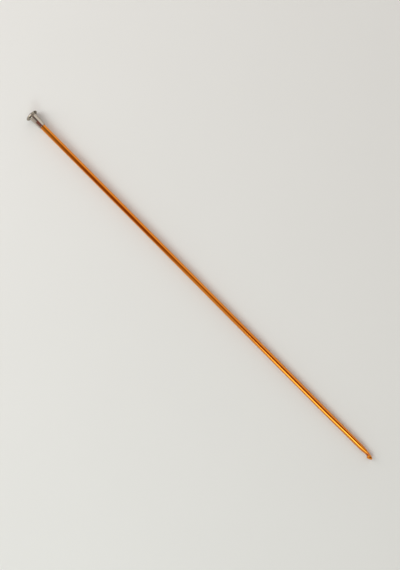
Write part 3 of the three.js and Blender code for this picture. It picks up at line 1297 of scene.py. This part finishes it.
class Room:
    """The pale room round the tool, as the world: a plain tone with a few soft-edged patches over it.

    The darker patches lie overhead, so the room is pale all round the horizon.
    """

    TONE: Colour = (1.0, 0.99, 0.965)
    PATCHES = (
        Patch("middle", (0.95, 0.95, 0.93), (-200.0, 200.0), (-0.22, 0.22), 10.0, 0.06),
        Patch("light side", (0.98, 1.0, 0.96), (44.0, 130.0), (-0.5, 0.5), 12.0, 0.1),
        Patch("hook side", (0.56, 0.54, 0.51), (-78.0, 78.0), (0.24, 0.68), 12.0, 0.05),
        Patch("low hook side", (0.28, 0.27, 0.25), (-80.0, -56.0), (0.12, 0.6), 7.0, 0.05),
        Patch("shaded side", (0.62, 0.63, 0.61), (-86.0, 0.0), (-0.26, 0.06), 15.0, 0.1),
        Patch("side panel", (0.25, 0.115, 0.1), (-74.0, -4.0), (-0.142, -0.022), 12.0, 0.022),
        Patch("overhead", (0.265, 0.07, 0.045), (-16.0, 26.0), (-0.2, 0.2), 8.0, 0.03),
        Patch("overhead, hook side", (0.26, 0.05, 0.02), (-8.0, 40.0), (0.02, 0.2), 8.0, 0.06),
        Patch("overhead, stopper side", (0.14, 0.145, 0.135), (-16.0, 34.0), (-0.2, -0.148), 8.0, 0.02),
        Patch("far end", (0.06, 0.06, 0.05), (-62.0, 62.0), (-0.93, -0.66), 10.0, 0.05),
        Patch("near end", (0.2, 0.19, 0.18), (-66.0, 66.0), (0.6, 0.93), 10.0, 0.05),
    )

    def light(self) -> None:
        """Build the world: each patch is mixed over the ones before it."""
        world = bpy.data.worlds.new("pale_room")
        world.use_nodes = True
        bpy.context.scene.world = world
        board = NodeBoard(world.node_tree)
        background = board.tree.nodes["Background"]
        direction = board.add("ShaderNodeTexCoord").outputs["Generated"]
        parts = board.add("ShaderNodeSeparateXYZ", Vector=direction)
        lean = board.math("DEGREES", board.math("ARCTAN2", parts.outputs["Y"], parts.outputs["Z"]))
        room = self.TONE
        for patch in self.PATCHES:
            in_lean = self.within(board, lean, patch.lean, patch.lean_edge)
            in_slant = self.within(board, parts.outputs["X"], patch.slant, patch.slant_edge)
            inside = board.product(in_lean, in_slant)
            room = board.mixed(inside, room, patch.colour)
        board.join(background, Color=room)

    @staticmethod
    def within(board: NodeBoard, value: Socket, limits: tuple[float, float], edge: float) -> Socket:
        """Return 1 between two limits and 0 outside them, with a soft edge centred on each limit."""
        low, high = limits
        rises = board.ranged(value, low - edge, low + edge)
        falls = board.ranged(value, high - edge, high + edge, to_low=1.0, to_high=0.0)
        return board.product(rises, falls)


@dataclass
class Studio:
    """Floor, lamps, room and camera.

    The stopper's rim is thicker than the hook, so the real tool leans by half a degree. Here the tool
    is level and the floor under it leans: it touches the rim's lowest point and the shaft's underside
    at the start of the head, and it is level on both sides beyond.
    """

    rod: HookRod
    sizes: StopperSizes
    tool_middle_px: tuple[float, float] = (201.2, 286.3)
    tool_length_px: float = 486.0
    tool_turn: float = math.radians(45.22)
    image_px: tuple[int, int] = (400, 570)
    lens: float = 90.0
    sensor: float = 36.0
    floor_half: float = 6.0

    def floor(self, finish: FloorFinish) -> bpy.types.Object:
        """Make the floor, four lines across the tool joined by three flat strips, and return it."""
        rim_x = self.sizes.roll_x
        touch_x = self.rod.nose_x - self.rod.head_length
        underside = self.sizes.axis_z - self.rod.radius
        rim_bottom = self.sizes.axis_z - self.sizes.rim_radius
        far = self.floor_half
        lines = ((-far, rim_bottom), (rim_x, rim_bottom), (touch_x, underside), (far, underside))
        points = [(x, y, z) for x, z in lines for y in (-far, far)]
        strips = [(first, first + 2, first + 3, first + 1) for first in range(0, len(points) - 2, 2)]
        mesh = bpy.data.meshes.new("floor")
        mesh.from_pydata(points, [], strips)
        mesh.materials.append(finish.material())
        floor = in_scene("floor", mesh)
        lean = math.degrees(math.atan2(underside - rim_bottom, touch_x - rim_x))
        LOG.info("floor: leans %.2f degrees under the tool", lean)
        return floor

    def camera(self) -> bpy.types.Object:
        """Make the camera: straight above, placed so that the tool covers its part of the frame."""
        metres_per_px = self.rod.tool_length / self.tool_length_px
        distance = self.image_px[1] * metres_per_px * self.lens / self.sensor
        lens = bpy.data.cameras.new("camera")
        lens.lens = self.lens
        lens.sensor_width = self.sensor
        camera = in_scene("camera", lens)
        turn = Matrix.Rotation(self.tool_turn, 4, "Z")
        right = (self.tool_middle_px[0] - self.image_px[0] / 2) * metres_per_px
        up = (self.image_px[1] / 2 - self.tool_middle_px[1]) * metres_per_px
        centre = Vector((self.rod.face_x + self.rod.tool_length / 2, 0.0, self.rod.axis_z + distance))
        camera.location = centre - turn.to_3x3() @ Vector((right, up, 0.0))
        camera.rotation_euler = (0.0, 0.0, self.tool_turn)
        bpy.context.scene.camera = camera
        LOG.info("camera: %.2f m above the tool", distance)
        return camera

    def build(self) -> None:
        """Set up the whole studio."""
        self.floor(FloorFinish())
        self.camera()
        Room().light()
        for lamp in LAMPS:
            lamp.light()
        bpy.context.scene.view_settings.view_transform = "Standard"


def main() -> None:
    """Build the rod, the sleeve, the cap and the studio."""
    logging.basicConfig(level=logging.INFO, format="%(name)s %(message)s")
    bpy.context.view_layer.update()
    cap_low, cap_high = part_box("stopper_cap")
    shaft_low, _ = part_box("hook_shaft")
    _, head_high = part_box("hook_head")
    axis_z = (cap_low[2] + cap_high[2]) / 2
    middle = Vector((0.0, 0.0, axis_z))
    face = Vector((cap_low[0], 0.0, axis_z))
    effects = Effects()
    sizes = StopperSizes(face_x=cap_low[0], axis_z=axis_z, rim_radius=cap_high[2] - axis_z)
    rod = HookRod(
        face_x=cap_low[0],
        start_x=shaft_low[0],
        axis_z=axis_z,
        tool_length=head_high[0] - cap_low[0],
        sleeve_end=sizes.mouth_x,
        radius=sizes.rod_radius,
    )
    rod.build(AnodisedFinish().material(effects, middle))
    StopperSleeve(sizes).build(NickelFinish().material(effects, face))
    StopperCap(sizes).build(CapFinish().material(effects, face))
    Studio(rod, sizes).build()


if __name__ == "__main__":
    main()
